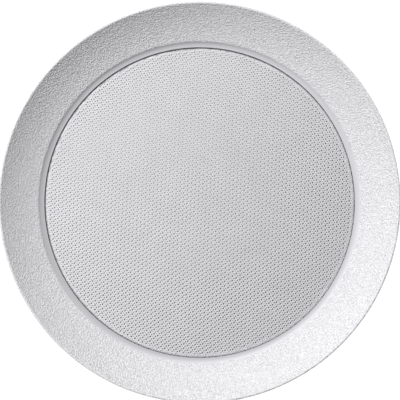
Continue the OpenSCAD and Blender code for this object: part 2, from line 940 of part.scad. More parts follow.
module wire_grommet() {
    r = grommet_d / 2;
    color("Black") at_angle(lead_angle) translate([0, lead_y, 0]) difference() {
        union() {
            disc(r, floor_z - grommet_lip, floor_z);
            disc(r - grommet_groove, floor_z - grommet_lip, floor_top_z + grommet_lip);
            disc(r, floor_top_z, floor_top_z + grommet_lip);
        }
        for (side = [-1, 1])
            translate([side * lead_pitch / 2, 0, 0])
                disc(lead_d / 2 + glue, floor_z - grommet_lip - over,
                    floor_top_z + grommet_lip + over);
    }
}

module damping_felt() {
    color("Gray") disc(felt_r, floor_top_z, floor_top_z + felt_t);
}

module speaker_leads() {
    color("Firebrick") at_angle(lead_angle) for (side = [-1, 1])
        translate([side * lead_pitch / 2, lead_y, 0])
            disc(lead_d / 2, board_top_z + speaker_socket[2], lead_top_z);
}

// Driver
module basket_section() {
    slope = basket_run[0] / basket_run[1];
    polygon([
        [driver_r, flange_z],
        [driver_r, flange_top_z],
        [throat_r, flange_top_z],
        [spider_shelf_out, spider_shelf_z],
        [spider_shelf_in, spider_shelf_z],
        [spider_shelf_in, basket_low_z + basket_t],
        [basket_hole_r, basket_low_z + basket_t],
        [basket_hole_r, basket_low_z],
        [spider_shelf_in + basket_t, basket_low_z],
        [spider_shelf_in + basket_t, spider_shelf_z - basket_t],
        [spider_shelf_out + basket_side - basket_t * slope, spider_shelf_z - basket_t],
        [throat_r + basket_side - flange_t * slope, flange_z]
    ]);
}

module driver_basket() {
    window_z = (flange_z + spider_shelf_z) / 2;
    color("Silver") difference() {
        rotate_extrude() basket_section();
        for (a = [30:60:330])
            at_angle(a) outward(spider_shelf_in, window_z)
                cylinder(d = basket_window_d, h = driver_r - spider_shelf_in);
        for (a = driver_screw_angles)
            at_angle(a) translate([0, driver_screw_at, 0])
                disc(driver_screw_d / 2 + hole_room, flange_z - over, flange_top_z + over);
    }
}

module driver_gasket() {
    color("DimGray") difference() {
        tube(driver_r, throat_hole_r + edge_room, ledge_z, flange_z);
        for (a = driver_screw_angles)
            at_angle(a) translate([0, driver_screw_at, 0])
                disc(driver_screw_d / 2 + hole_room, ledge_z - over, flange_z + over);
    }
}

module driver_screws() {
    color("SlateGray") for (a = driver_screw_angles)
        at_angle(a) translate([0, driver_screw_at, flange_top_z]) mirror([0, 0, 1])
            screw(driver_head_d, driver_head_h, driver_screw_d, driver_screw_l);
}

module surround() {
    roll_r = (roll_out - roll_in) / 2;
    roll_mid = (roll_out + roll_in) / 2;
    color("Black") rotate_extrude() {
        intersection() {
            translate([roll_mid, flange_top_z]) difference() {
                circle(r = roll_r + surround_t);
                circle(r = roll_r);
            }
            translate([0, flange_top_z]) square([driver_r, roll_r * 2]);
        }
        translate([cone_top_r + edge_room, flange_top_z])
            square([roll_in - cone_top_r - edge_room, surround_t]);
        translate([roll_out, flange_top_z])
            square([driver_screw_at - driver_head_d / 2 - edge_room - roll_out, surround_t]);
    }
}

module cone() {
    color("DarkGray") rotate_extrude() polygon([
        [cone_lip_r, cone_edge_z - cone_t],
        [cone_lip_r, cone_edge_z],
        [cone_top_r, cone_edge_z],
        [neck_r, neck_z],
        [neck_r, neck_z - cone_t],
        [cone_top_r, cone_edge_z - cone_t]
    ]);
}

module dust_cap() {
    color("Black") rotate_extrude() intersection() {
        translate([0, cap_cz]) difference() {
            circle(r = cap_ball_r, $fn = 192);
            circle(r = cap_ball_r - cap_t, $fn = 192);
        }
        translate([0, cap_z]) square([cap_r, cap_h + over]);
    }
}

module voice_coil_former() {
    color("Goldenrod") tube(former_out_r, former_in_r, former_z, former_top_z);
}

module voice_coil_winding() {
    color("Peru") tube(former_out_r + glue + winding_t, former_out_r + glue,
        winding_z, winding_z + winding_h);
}

module spider() {
    ripple = 1;
    ripple_in = neck_r + spider_collar;
    ripples = floor((spider_shelf_in - ripple_in) / (2 * ripple));
    spread = (spider_shelf_in - ripple_in) / ripples;
    color("Khaki") rotate_extrude() {
        translate([neck_r, spider_shelf_z]) square([ripple_in - neck_r, spider_t]);
        for (i = [0:ripples - 1])
            translate([ripple_in + i * spread, spider_shelf_z]) polygon([
                [0, 0],
                [spread / 2, ripple / 2],
                [spread, 0],
                [spread, spider_t],
                [spread / 2, ripple / 2 + spider_t],
                [0, spider_t]
            ]);
        translate([spider_shelf_in, spider_shelf_z])
            square([spider_shelf_out - spider_shelf_in - edge_room, spider_t]);
    }
}

module yoke() {
    color("Gray") difference() {
        disc(yoke_r, yoke_z, basket_low_z);
        disc(yoke_bore / 2, magnet_z, basket_low_z + over);
    }
}

module magnet() {
    color("LightSlateGray") disc(magnet_d / 2, magnet_z, pole_z);
}

module pole_washer() {
    color("Gray") disc(pole_d / 2, pole_z, pole_z + pole_t);
}

module terminal_board() {
    color("SaddleBrown") at_angle(lead_angle)
        translate([-terminal_size[0] / 2, terminal_in_y, terminal_z])
            cube(terminal_size);
}

housing();
grille();
dust_cloth();
grille_seal();
base_plate();
foot_ring();
base_screws();
power_button();
volume_down_button();
volume_up_button();
power_plunger();
volume_down_plunger();
volume_up_plunger();
switch_bodies();
usb_shell();
usb_tongue();
light_pipe();
light_chip();
microphone();
microphone_boot();
main_board();
board_screws();
processor_chip();
amplifier_chip();
inductors();
capacitors();
antenna();
battery_connector();
speaker_connector();
battery_cell();
battery_pad();
protection_board();
battery_leads();
rear_chamber();
baffle();
chamber_seal();
wire_grommet();
damping_felt();
speaker_leads();
driver_basket();
driver_gasket();
surround();
cone();
dust_cap();
voice_coil_former();
voice_coil_winding();
spider();
yoke();
magnet();
pole_washer();
terminal_board();
driver_screws();
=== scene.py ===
"""Dresses the frame of a round pocket speaker: blasted can, polished lip, grille, keys and foot."""

import json
import math

import bmesh
import bpy
from mathutils import Matrix, Vector


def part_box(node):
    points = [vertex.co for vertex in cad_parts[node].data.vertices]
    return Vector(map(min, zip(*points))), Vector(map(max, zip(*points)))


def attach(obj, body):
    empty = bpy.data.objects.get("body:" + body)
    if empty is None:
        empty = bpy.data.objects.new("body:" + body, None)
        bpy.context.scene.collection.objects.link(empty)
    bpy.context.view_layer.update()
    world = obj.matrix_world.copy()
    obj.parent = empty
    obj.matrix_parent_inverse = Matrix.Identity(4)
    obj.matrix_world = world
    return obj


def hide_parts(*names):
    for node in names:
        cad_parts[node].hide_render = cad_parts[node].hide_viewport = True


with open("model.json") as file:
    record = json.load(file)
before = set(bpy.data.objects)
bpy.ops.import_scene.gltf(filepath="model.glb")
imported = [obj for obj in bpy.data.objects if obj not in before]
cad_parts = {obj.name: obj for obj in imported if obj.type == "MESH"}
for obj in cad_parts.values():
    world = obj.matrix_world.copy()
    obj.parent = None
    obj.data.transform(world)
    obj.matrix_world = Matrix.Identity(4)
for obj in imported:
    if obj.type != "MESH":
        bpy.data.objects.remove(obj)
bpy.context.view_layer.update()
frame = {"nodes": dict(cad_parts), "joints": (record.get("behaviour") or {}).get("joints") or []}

bl_info = {
    "name": "Round Pocket Speaker",
    "version": (1, 0, 0),
    "blender": (4, 5, 0),
    "location": "3D View > Sidebar > Speaker",
    "description": "Dresses the frame of a round pocket speaker with its finished surfaces",
    "category": "Add Mesh",
}

MM = 0.001
SHELL_BODY = "speaker_body"
KEYS = ("power", "volume_down", "volume_up")

# Sizes read from the frame
HOUSING_LOW, HOUSING_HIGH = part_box("housing")
GRILLE_LOW, GRILLE_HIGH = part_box("grille")
BASE_LOW, BASE_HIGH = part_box("base_plate")
FOOT_LOW, FOOT_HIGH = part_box("foot_ring")
KEY_LOW, KEY_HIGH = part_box("power_button")
BODY_R = HOUSING_HIGH.x
RIM_Z = HOUSING_HIGH.z
SHELL_Z = HOUSING_LOW.z
KEY_Z = (KEY_LOW.z + KEY_HIGH.z) / 2
JOINTS = {joint["name"]: joint for joint in frame["joints"]}

# Steps round the axis, and small sizes that nobody would change
HOUSING_STEPS = 288
GRILLE_STEPS = 256
BASE_STEPS = 192
DISH_STEPS = 26
WELD = 0.004 * MM
LIP_EDGE = 0.06 * MM
WINDOW_FLARE = 0.12 * MM
WINDOW_DEPTH = 3.0 * MM
WINDOW_PAST = 1.0 * MM
BASE_EDGE = 0.15 * MM
RIBS = 3
RIB_HALF = 0.2 * MM
RIB_DEEP = 0.15 * MM
MARK_SUNK = 0.05 * MM
MARK_HIGH = 0.015 * MM
TABLE_HALF = 1500.0 * MM
# A round end needs a slot that is a little longer than it is high
NEARLY_ROUND = 1.001

# Cells of the grille, as shares of a whole cell's area or of its land
WHOLE_CELL = 0.8
SMALLEST_CELL = 0.45
PART_LAND = 0.7


def angle_of(node):
    """The direction in which a piece of the back lies from the middle, in radians."""
    low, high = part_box(node)
    return math.atan2(low.y + high.y, low.x + high.x)


def key_angle(name):
    """The direction in which a button faces: the opposite of its joint's axis."""
    axis = JOINTS[name + "_press"]["axis"]
    return math.atan2(-axis[1], -axis[0])


# Sizes and colours that a user would change
def length(name, about, value):
    return bpy.props.FloatProperty(
        name=name, description=about, default=value * MM, min=0.0, unit="LENGTH", precision=5
    )


def turn(name, about, degrees):
    return bpy.props.FloatProperty(
        name=name, description=about, default=math.radians(degrees), unit="ROTATION"
    )


def share(name, about, value):
    return bpy.props.FloatProperty(name=name, description=about, default=value, subtype="FACTOR")


def colour(name, about, value):
    return bpy.props.FloatVectorProperty(
        name=name, description=about, default=value, size=3, min=0.0, max=1.0, subtype="COLOR"
    )


class SpeakerShellSettings(bpy.types.PropertyGroup):
    """Sizes of the housing and its front ring."""

    wall: length("Wall", "Thickness of the housing's wall", 1.2)
    band: length("Window band", "Half the height of the band that holds the windows", 2.2)
    hem: length("Hem chamfer", "Chamfer at the housing's lower edge", 0.4)
    rim_edge: length("Rim edge", "Radius of the rim's outer edge", 0.25)
    dish_width: length("Dish width", "Width of the blasted dish, seen from above", 5.68)
    dish_depth: length("Dish depth", "Drop of the dish from rim to lip", 2.4)
    dish_radius: length("Dish radius", "Radius of the dish's hollow section", 22.2)
    lip_width: length("Lip width", "Width of the polished lip, seen from above", 0.88)
    lip_drop: length("Lip drop", "Drop of the polished lip", 0.235)
    lip_wall: length("Lip wall", "Height of the plain wall under the lip", 2.365)
    seat_width: length("Seat width", "Width of the flat seat under the ring", 3.3)
    metal: colour("Metal", "Colour of the blasted metal", (0.722, 0.717, 0.735))
    lip: colour("Lip", "Colour of the polished lip", (0.55, 0.546, 0.568))


class SpeakerGrilleSettings(bpy.types.PropertyGroup):
    """Sizes of the grille and of its staggered holes."""

    gap: length("Gap", "Gap between the grille and the lip", 0.045)
    sheet: length("Sheet", "Thickness of the grille's sheet", 0.5)
    bend: length("Bend", "Radius of the bend at the grille's edge", 0.12)
    shift: length("Shift", "How far the grille sits off the middle", 0.03)
    shift_turn: turn("Shift direction", "Direction in which it sits off the middle", 315.0)
    rise: length("Rise", "Rise of the dome", 2.2)
    row_pitch: length("Row pitch", "Spacing of the holes along a row", 0.357)
    row_turn: turn("Row direction", "Direction of the rows of holes", 119.0)
    cross_pitch: length("Cross pitch", "Spacing of the holes across the rows", 0.381)
    cross_turn: turn("Cross direction", "Direction of the holes across the rows", 6.5)
    land: length("Land", "Width of the metal from a hole to its cell's edge", 0.103)
    small_land: length("Small land", "The same width round every third hole, a small one", 0.14)
    pairing: length("Pairing", "How far the large holes are moved towards each other", 0.03)
    roll: length("Roll", "Depth to which a hole's edge is rolled in", 0.05)
    metal: colour("Metal", "Colour of the grille", (0.66, 0.655, 0.672))
    cloth: colour("Cloth", "Colour of the dust cloth", (0.45, 0.45, 0.46))


class SpeakerKeySettings(bpy.types.PropertyGroup):
    """Sizes of the buttons and of the pieces beside them."""

    width: length("Width", "Width of a button's cap", 5.6)
    height: length("Height", "Height of a button's cap", 2.8)
    proud: length("Proud", "How far a button stands out of the housing", 0.35)
    room: length("Room", "Gap between a button and its window", 0.15)
    lip: length("Lip", "Width of the lip that keeps a button in", 0.8)
    lip_thick: length("Lip thickness", "Thickness of that lip", 1.0)
    lip_gap: length("Lip gap", "Gap between that lip and the wall", 0.1)
    edge: length("Edge", "Rounding of a button's front edge", 0.35)
    mark: length("Mark", "Length of the strokes of a button's mark", 1.5)
    stroke: length("Stroke", "Width of the strokes of a button's mark", 0.26)
    plastic: colour("Plastic", "Colour of the buttons", (0.70, 0.70, 0.71))
    ink: colour("Ink", "Colour of the marks", (0.10, 0.10, 0.105))


class SpeakerSocketSettings(bpy.types.PropertyGroup):
    """Sizes of the charging socket, the status light and the sound hole."""

    width: length("Width", "Width of the socket's shell", 8.94)
    height: length("Height", "Height of the socket's shell", 3.2)
    depth: length("Depth", "Length of the socket's shell", 7.3)
    sheet: length("Sheet", "Thickness of the socket's shell", 0.3)
    recess: length("Recess", "Depth of its mouth behind the housing's side", 1.05)
    room: length("Room", "Gap between the socket and its window", 0.2)
    light: length("Light", "Diameter of the light pipe", 1.5)
    light_room: length("Light room", "Gap round the light pipe", 0.1)
    sound: length("Sound hole", "Diameter of the sound hole", 0.9)


class SpeakerBaseSettings(bpy.types.PropertyGroup):
    """Sizes of the base plate and its rubber foot."""

    chamfer: length("Chamfer", "Chamfer at the base plate's lower edge", 0.6)
    collar: length("Collar", "Thickness of the collar inside the housing", 1.8)
    collar_gap: length("Collar gap", "Gap between the collar and the housing", 0.3)
    groove: length("Groove", "Depth of the groove that holds the foot", 0.8)
    groove_room: length("Groove room", "Gap beside the foot in its groove", 0.1)
    foot_width: length("Foot width", "Width of the rubber foot", 6.0)
    foot_bevel: length("Foot bevel", "Rounding of the foot's edges", 0.3)
    plastic: colour("Plastic", "Colour of the base plate", (0.60, 0.60, 0.61))
    rubber: colour("Rubber", "Colour of the foot", (0.09, 0.09, 0.095))


class SpeakerStageSettings(bpy.types.PropertyGroup):
    """The camera, the light and the floor."""

    distance: length("Distance", "Distance of the camera from the rim", 700.0)
    elevation: turn("Elevation", "Height of the camera above the horizon", 89.0)
    frame_width: length("Frame width", "Width that the picture takes in at the rim", 59.64)
    aim_back: length("Aim back", "How far behind the rim's middle the camera aims", 0.32)
    aim_side: length("Aim side", "How far beside the rim's middle the camera aims", 0.065)
    light_mean: share("Light", "Brightness of the room overhead", 1.06)
    wall_turn: turn("Wall light direction", "Direction of the room's brighter wall", 130.0)
    wall_swing: share("Wall light", "How much brighter that wall is", 1.24)
    ceiling_turn: turn("Ceiling light direction", "Brighter side of the ceiling", 228.0)
    ceiling_swing: share("Ceiling light", "How much brighter that side is", 0.82)
    floor_glow: share("Floor glow", "Light that the lit table gives off", 0.9)
    floor: colour("Floor", "Colour of the table", (0.3, 0.3, 0.3))
    horizon: share("Horizon", "Brightness of the room at the height of the table", 0.6)


# Shader groups for effects that several finishes share
def new_group(name, inputs, outputs):
    group = bpy.data.node_groups.new(name, "ShaderNodeTree")
    for label, kind, value in inputs:
        socket = group.interface.new_socket(label, in_out="INPUT", socket_type=kind)
        if value is not None:
            socket.default_value = value
    for label in outputs:
        group.interface.new_socket(label, in_out="OUTPUT", socket_type="NodeSocketFloat")
    return group, group.nodes.new("NodeGroupInput"), group.nodes.new("NodeGroupOutput")


def math_node(tree, operation, first, second=None):
    node = tree.nodes.new("ShaderNodeMath")
    node.operation = operation
    for socket, value in zip(node.inputs, (first, second)):
        if isinstance(value, bpy.types.NodeSocket):
            tree.links.new(value, socket)
        elif value is not None:
            socket.default_value = value
    return node.outputs[0]


def grain_group():
    """Fine random grain: a mask from 0 to 1 with grains of one size."""
    group, start, end = new_group(
        "fine_grain",
        [("Vector", "NodeSocketVector", None), ("Scale", "NodeSocketFloat", 4000.0),
         ("Contrast", "NodeSocketFloat", 2.0)],
        ["Mask"],
    )
    noise = group.nodes.new("ShaderNodeTexNoise")
    noise.inputs["Detail"].default_value = 2.0
    group.links.new(start.outputs["Vector"], noise.inputs["Vector"])
    group.links.new(start.outputs["Scale"], noise.inputs["Scale"])
    centred = math_node(group, "SUBTRACT", noise.outputs["Fac"], 0.5)
    spread = math_node(group, "MULTIPLY", centred, start.outputs["Contrast"])
    lifted = math_node(group, "ADD", spread, 0.5)
    kept = group.nodes.new("ShaderNodeClamp")
    group.links.new(lifted, kept.inputs["Value"])
    group.links.new(kept.outputs[0], end.inputs["Mask"])
    return group


def weave_group():
    """A plain weave: a mask that rises on each thread crossing."""
    group, start, end = new_group(
        "plain_weave",
        [("Vector", "NodeSocketVector", None), ("Scale", "NodeSocketFloat", 10000.0)],
        ["Mask"],
    )
    split = group.nodes.new("ShaderNodeSeparateXYZ")
    group.links.new(start.outputs["Vector"], split.inputs[0])
    waves = []
    for axis in ("X", "Y"):
        phase = math_node(group, "MULTIPLY", split.outputs[axis], start.outputs["Scale"])
        waves.append(math_node(group, "SINE", phase))
    crossing = math_node(group, "MULTIPLY", waves[0], waves[1])
    half = math_node(group, "MULTIPLY", crossing, 0.5)
    group.links.new(math_node(group, "ADD", half, 0.5), end.inputs["Mask"])
    return group


def rings_group():
    """Concentric turning marks: a mask that follows the distance from the axis."""
    group, start, end = new_group(
        "turned_rings",
        [("Vector", "NodeSocketVector", None), ("Scale", "NodeSocketFloat", 20000.0)],
        ["Mask"],
    )
    flat = group.nodes.new("ShaderNodeVectorMath")
    flat.operation = "MULTIPLY"
    flat.inputs[1].default_value = (1.0, 1.0, 0.0)
    group.links.new(start.outputs["Vector"], flat.inputs[0])
    far = group.nodes.new("ShaderNodeVectorMath")
    far.operation = "LENGTH"
    group.links.new(flat.outputs[0], far.inputs[0])
    phase = math_node(group, "MULTIPLY", far.outputs["Value"], start.outputs["Scale"])
    half = math_node(group, "MULTIPLY", math_node(group, "SINE", phase), 0.5)
    group.links.new(math_node(group, "ADD", half, 0.5), end.inputs["Mask"])
    return group


def bands_group():
    """Stacked turns or layers: a mask that follows the height."""
    group, start, end = new_group(
        "stacked_bands",
        [("Vector", "NodeSocketVector", None), ("Scale", "NodeSocketFloat", 20000.0)],
        ["Mask"],
    )
    split = group.nodes.new("ShaderNodeSeparateXYZ")
    group.links.new(start.outputs["Vector"], split.inputs[0])
    phase = math_node(group, "MULTIPLY", split.outputs["Z"], start.outputs["Scale"])
    half = math_node(group, "MULTIPLY", math_node(group, "SINE", phase), 0.5)
    group.links.new(math_node(group, "ADD", half, 0.5), end.inputs["Mask"])
    return group


GROUPS = {"grain": grain_group, "weave": weave_group, "rings": rings_group, "bands": bands_group}
MADE_GROUPS = {}


def group_named(kind):
    if kind not in MADE_GROUPS:
        MADE_GROUPS[kind] = GROUPS[kind]()
    return MADE_GROUPS[kind]


def masked(tree, place, kind, size, contrast=2.0):
    """Places a shared group in a finish; size is the grain's or the thread's width in metres."""
    node = tree.nodes.new("ShaderNodeGroup")
    node.node_tree = group_named(kind)
    tree.links.new(place, node.inputs["Vector"])
    node.inputs["Scale"].default_value = 1.0 / size if kind == "grain" else math.pi / size
    if kind == "grain":
        node.inputs["Contrast"].default_value = contrast
    return node.outputs["Mask"]


def finish(name, tone, rough, metal=0.0, grain=0.2, kind="grain", tint=0.04, wander=0.05,
           bump=0.01, contrast=2.0, cloud=6.0, cloud_tint=0.03, **sockets):
    """A finish with fine detail of one kind, and broad clouding under it.

    grain and cloud are widths in millimetres, tint and cloud_tint are shares of the colour,
    wander is the spread of the roughness, and bump is the detail's height in millimetres.
    """
    material = bpy.data.materials.new(name)
    material.use_nodes = True
    tree = material.node_tree
    shader = tree.nodes["Principled BSDF"]
    place = tree.nodes.new("ShaderNodeTexCoord").outputs["Object"]
    fine = masked(tree, place, kind, grain * MM, contrast)
    broad = masked(tree, place, "grain", cloud * MM, 1.6)

    def mixed(factor, low, high):
        mix = tree.nodes.new("ShaderNodeMix")
        mix.data_type = "RGBA"
        tree.links.new(factor, mix.inputs["Factor"])
        for socket, value in zip((mix.inputs["A"], mix.inputs["B"]), (low, high)):
            if isinstance(value, bpy.types.NodeSocket):
                tree.links.new(value, socket)
            else:
                socket.default_value = (*value, 1.0)
        return mix.outputs["Result"]

    def scaled(factor):
        return [min(1.0, channel * factor) for channel in tone]

    low = mixed(broad, scaled(1 - tint - cloud_tint), scaled(1 - tint + cloud_tint))
    high = mixed(broad, scaled(1 + tint - cloud_tint), scaled(1 + tint + cloud_tint))
    both = tree.nodes.new("ShaderNodeMix")
    both.data_type = "RGBA"
    tree.links.new(fine, both.inputs["Factor"])
    tree.links.new(low, both.inputs["A"])
    tree.links.new(high, both.inputs["B"])
    tree.links.new(both.outputs["Result"], shader.inputs["Base Color"])

    spread = tree.nodes.new("ShaderNodeMapRange")
    spread.inputs["To Min"].default_value = max(0.02, rough - wander)
    spread.inputs["To Max"].default_value = min(1.0, rough + wander)
    tree.links.new(fine, spread.inputs["Value"])
    tree.links.new(spread.outputs["Result"], shader.inputs["Roughness"])

    relief = tree.nodes.new("ShaderNodeBump")
    relief.inputs["Strength"].default_value = 1.0
    relief.inputs["Distance"].default_value = bump * MM
    tree.links.new(fine, relief.inputs["Height"])
    tree.links.new(relief.outputs["Normal"], shader.inputs["Normal"])

    shader.inputs["Metallic"].default_value = metal
    for label, value in sockets.items():
        shader.inputs[label.replace("_", " ").title()].default_value = value
    return material


# Making and placing pieces
def keep(bm, name, body, materials, stands_for=(), angle=32.0, even=False):
    """Turns a bmesh into a piece that rides on a body, with smooth faces and crisp edges.

    even lets the large faces set the shading beside small ones.
    """
    mesh = bpy.data.meshes.new(name)
    bm.to_mesh(mesh)
    bm.free()
    for material in materials:
        mesh.materials.append(material)
    mesh.shade_smooth()
    mesh.set_sharp_from_angle(angle=math.radians(angle))
    piece = bpy.data.objects.new(name, mesh)
    bpy.context.scene.collection.objects.link(piece)
    if even:
        normals = piece.modifiers.new("even_normals", "WEIGHTED_NORMAL")
        normals.weight = 100
        normals.keep_sharp = True
    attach(piece, body)
    if stands_for:
        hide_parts(*stands_for)
    return piece


def spin_profile(bm, points, steps, closed=True):
    """Spins an outline of (radius, height) points round the vertical axis."""
    verts = [bm.verts.new((radius, 0.0, height)) for radius, height in points]
    pairs = list(zip(verts, verts[1:]))
    if closed:
        pairs.append((verts[-1], verts[0]))
    edges = [bm.edges.new(pair) for pair in pairs]
    bmesh.ops.spin(
        bm, geom=verts + edges, cent=(0, 0, 0), axis=(0, 0, 1), angle=2 * math.pi,
        steps=steps, use_merge=True, use_duplicate=False,
    )
    bmesh.ops.remove_doubles(bm, verts=bm.verts, dist=1e-7)
    bmesh.ops.recalc_face_normals(bm, faces=bm.faces)


def arc(centre, radius, start, end, count):
    """Points on an arc, both ends included; angles in radians."""
    for i in range(count + 1):
        a = start + (end - start) * i / count
        yield centre[0] + radius * math.cos(a), centre[1] + radius * math.sin(a)


def facing(angle, height):
    """A frame on the axis at one height: X along the side, Y outwards, Z up."""
    out = Vector((math.cos(angle), math.sin(angle), 0.0))
    along = Vector((math.sin(angle), -math.cos(angle), 0.0))
    turned = Matrix((along, out, Vector((0.0, 0.0, 1.0)))).transposed().to_4x4()
    return Matrix.Translation((0.0, 0.0, height)) @ turned


def slot_face(bm, width, height, y, segments=10):
    """A face with two round ends that looks outwards along Y."""
    corners = [(-1, -1), (1, -1), (1, 1), (-1, 1)]
    verts = [bm.verts.new((sx * width / 2, y, sz * height / 2)) for sx, sz in corners]
    bm.faces.new(verts)
    bmesh.ops.bevel(
        bm, geom=verts, offset=height / 2 * 0.998, segments=segments, profile=0.5,
        affect="VERTICES", material=-1,
    )
    bmesh.ops.remove_doubles(bm, verts=bm.verts, dist=height * 0.01)
    return max(bm.faces, key=lambda f: f.calc_area())


def pull(bm, face, distance):
    """Extrudes one face along Y and returns the moved face; only a lone face stays as a back."""
    lone = all(len(edge.link_faces) == 1 for edge in face.edges)
    made = bmesh.ops.extrude_face_region(bm, geom=[face])
    if not lone:
        bmesh.ops.delete(bm, geom=[face], context="FACES_ONLY")
    verts = [g for g in made["geom"] if isinstance(g, bmesh.types.BMVert)]
    bmesh.ops.translate(bm, verts=verts, vec=(0.0, distance, 0.0))
    return next(g for g in made["geom"] if isinstance(g, bmesh.types.BMFace))


def inset(bm, face, by):
    bmesh.ops.inset_individual(bm, faces=[face], thickness=by, use_even_offset=True)
    return face


# Housing
def housing_outline(settings):
    """The housing's section, from the bore's lower edge round the outside and back."""
    rim_r = BODY_R - settings.rim_edge
    lip_r = rim_r - settings.dish_width
    lip_z = RIM_Z - settings.dish_depth
    opening_r = lip_r - settings.lip_width
    lip_low = lip_z - settings.lip_drop
    seat_z = lip_low - settings.lip_wall
    seat_r = opening_r + settings.seat_width
    bore_r = BODY_R - settings.wall
    chord = math.hypot(settings.dish_width, settings.dish_depth)
    sink = math.sqrt(settings.dish_radius ** 2 - (chord / 2) ** 2)
    across, down = settings.dish_width / chord, settings.dish_depth / chord
    middle = ((lip_r + rim_r) / 2 - sink * down, (lip_z + RIM_Z) / 2 + sink * across)
    start = math.atan2(RIM_Z - middle[1], rim_r - middle[0])
    end = math.atan2(lip_z - middle[1], lip_r - middle[0])
    points = [(bore_r, SHELL_Z), (BODY_R - settings.hem, SHELL_Z)]
    points += [(BODY_R, SHELL_Z + settings.hem), (BODY_R, KEY_Z - settings.band)]
    points += [(BODY_R, KEY_Z + settings.band), (BODY_R, RIM_Z - settings.rim_edge)]
    points += list(arc((rim_r, RIM_Z - settings.rim_edge), settings.rim_edge,
                       0.0, math.radians(100.0), 6))[1:]
    points += list(arc(middle, settings.dish_radius, start, end, DISH_STEPS))[1:]
    points += [(lip_r - LIP_EDGE, lip_z - LIP_EDGE)]
    points += [(opening_r + LIP_EDGE, lip_low + LIP_EDGE), (opening_r, lip_low - LIP_EDGE)]
    points += [(opening_r, seat_z), (seat_r, seat_z), (bore_r, seat_z + bore_r - seat_r)]
    return points


def window_cutter(width, height, angle):
    """A closed plug with round ends and a flared mouth, for cutting a window in the wall."""
    flare = WINDOW_FLARE
    bm = bmesh.new()
    face = slot_face(bm, width, height, BODY_R - WINDOW_DEPTH, segments=12)
    face = pull(bm, face, WINDOW_DEPTH - flare)
    face = pull(bm, face, 2 * flare)
    middle = face.calc_center_median()
    grow = Matrix.Diagonal((1 + 4 * flare / width, 1.0, 1 + 4 * flare / height, 1.0))
    bmesh.ops.transform(
        bm, matrix=grow, verts=face.verts, space=Matrix.Translation(-middle)
    )
    pull(bm, face, WINDOW_PAST)
    bmesh.ops.recalc_face_normals(bm, faces=bm.faces)
    bmesh.ops.transform(bm, matrix=facing(angle, KEY_Z), verts=bm.verts)
    mesh = bpy.data.meshes.new("window")
    bm.to_mesh(mesh)
    bm.free()
    cutter = bpy.data.objects.new("window", mesh)
    bpy.context.scene.collection.objects.link(cutter)
    return cutter


def cut_windows(bm, cutters):
    """Cuts the windows out of a wall and returns the cut wall as a bmesh."""
    mesh = bpy.data.meshes.new("wall")
    bm.to_mesh(mesh)
    bm.free()
    wall = bpy.data.objects.new("wall", mesh)
    bpy.context.scene.collection.objects.link(wall)
    for cutter in cutters:
        cut = wall.modifiers.new("window", "BOOLEAN")
        cut.operation = "DIFFERENCE"
        cut.solver = "EXACT"
        cut.object = cutter
    done = wall.evaluated_get(bpy.context.evaluated_depsgraph_get())
    result = bmesh.new()
    result.from_mesh(done.to_mesh())
    done.to_mesh_clear()
    for scrap in [wall, *cutters]:
        mesh = scrap.data
        bpy.data.objects.remove(scrap)
        bpy.data.meshes.remove(mesh)
    return result


class SpeakerHousing(bpy.types.Operator):
    """Make the blasted housing with its dished ring, polished lip and windows."""

    bl_idname = "speaker.housing"
    bl_label = "Housing"

    def execute(self, context):
        shell = context.scene.speaker_shell
        keys = context.scene.speaker_keys
        socket = context.scene.speaker_socket
        bm = bmesh.new()
        spin_profile(bm, housing_outline(shell), HOUSING_STEPS)
        cutters = [
            window_cutter(keys.width + 2 * keys.room, keys.height + 2 * keys.room, key_angle(name))
            for name in KEYS
        ]
        cutters.append(window_cutter(
            socket.width + 2 * socket.room, socket.height + 2 * socket.room, angle_of("usb_shell")
        ))
        light = socket.light + 2 * socket.light_room
        cutters.append(window_cutter(light * NEARLY_ROUND, light, angle_of("light_pipe")))
        sound = socket.sound
        cutters.append(window_cutter(sound * NEARLY_ROUND, sound, angle_of("microphone")))
        bm = cut_windows(bm, cutters)
        bmesh.ops.remove_doubles(bm, verts=bm.verts, dist=WELD)
        bmesh.ops.dissolve_degenerate(bm, dist=WELD, edges=bm.edges)
        lip_r = BODY_R - shell.rim_edge - shell.dish_width
        lip_low = RIM_Z - shell.dish_depth - shell.lip_drop
        for face in bm.faces:
            middle = face.calc_center_median()
            on_lip = middle.xy.length < lip_r and middle.z > lip_low - 2 * LIP_EDGE
            face.material_index = 1 if on_lip else 0
        blasted = finish(
            "blasted_aluminium", shell.metal, 0.46, metal=1.0, grain=0.21, tint=0.24,
            wander=0.08, bump=0.08, contrast=2.0, cloud=9.0, cloud_tint=0.012,
        )
        polished = finish(
            "polished_lip", shell.lip, 0.28, metal=1.0, grain=0.09, kind="rings", tint=0.01,
            wander=0.03, bump=0.0004, cloud=5.0, cloud_tint=0.01,
        )
        # The wide angle keeps the lip's narrow edges smooth, so that its light fades into the dish
        keep(bm, "housing_shell", SHELL_BODY, [blasted, polished],
             stands_for=("housing",), angle=40.0, even=True)
        return {"FINISHED"}


# Grille
def hole_steps(settings):
    """The two steps from hole to hole: along a row, and across the rows."""
    along = Vector((math.cos(settings.row_turn), math.sin(settings.row_turn)))
    across = Vector((math.cos(settings.cross_turn), math.sin(settings.cross_turn)))
    return along * settings.row_pitch, across * settings.cross_pitch


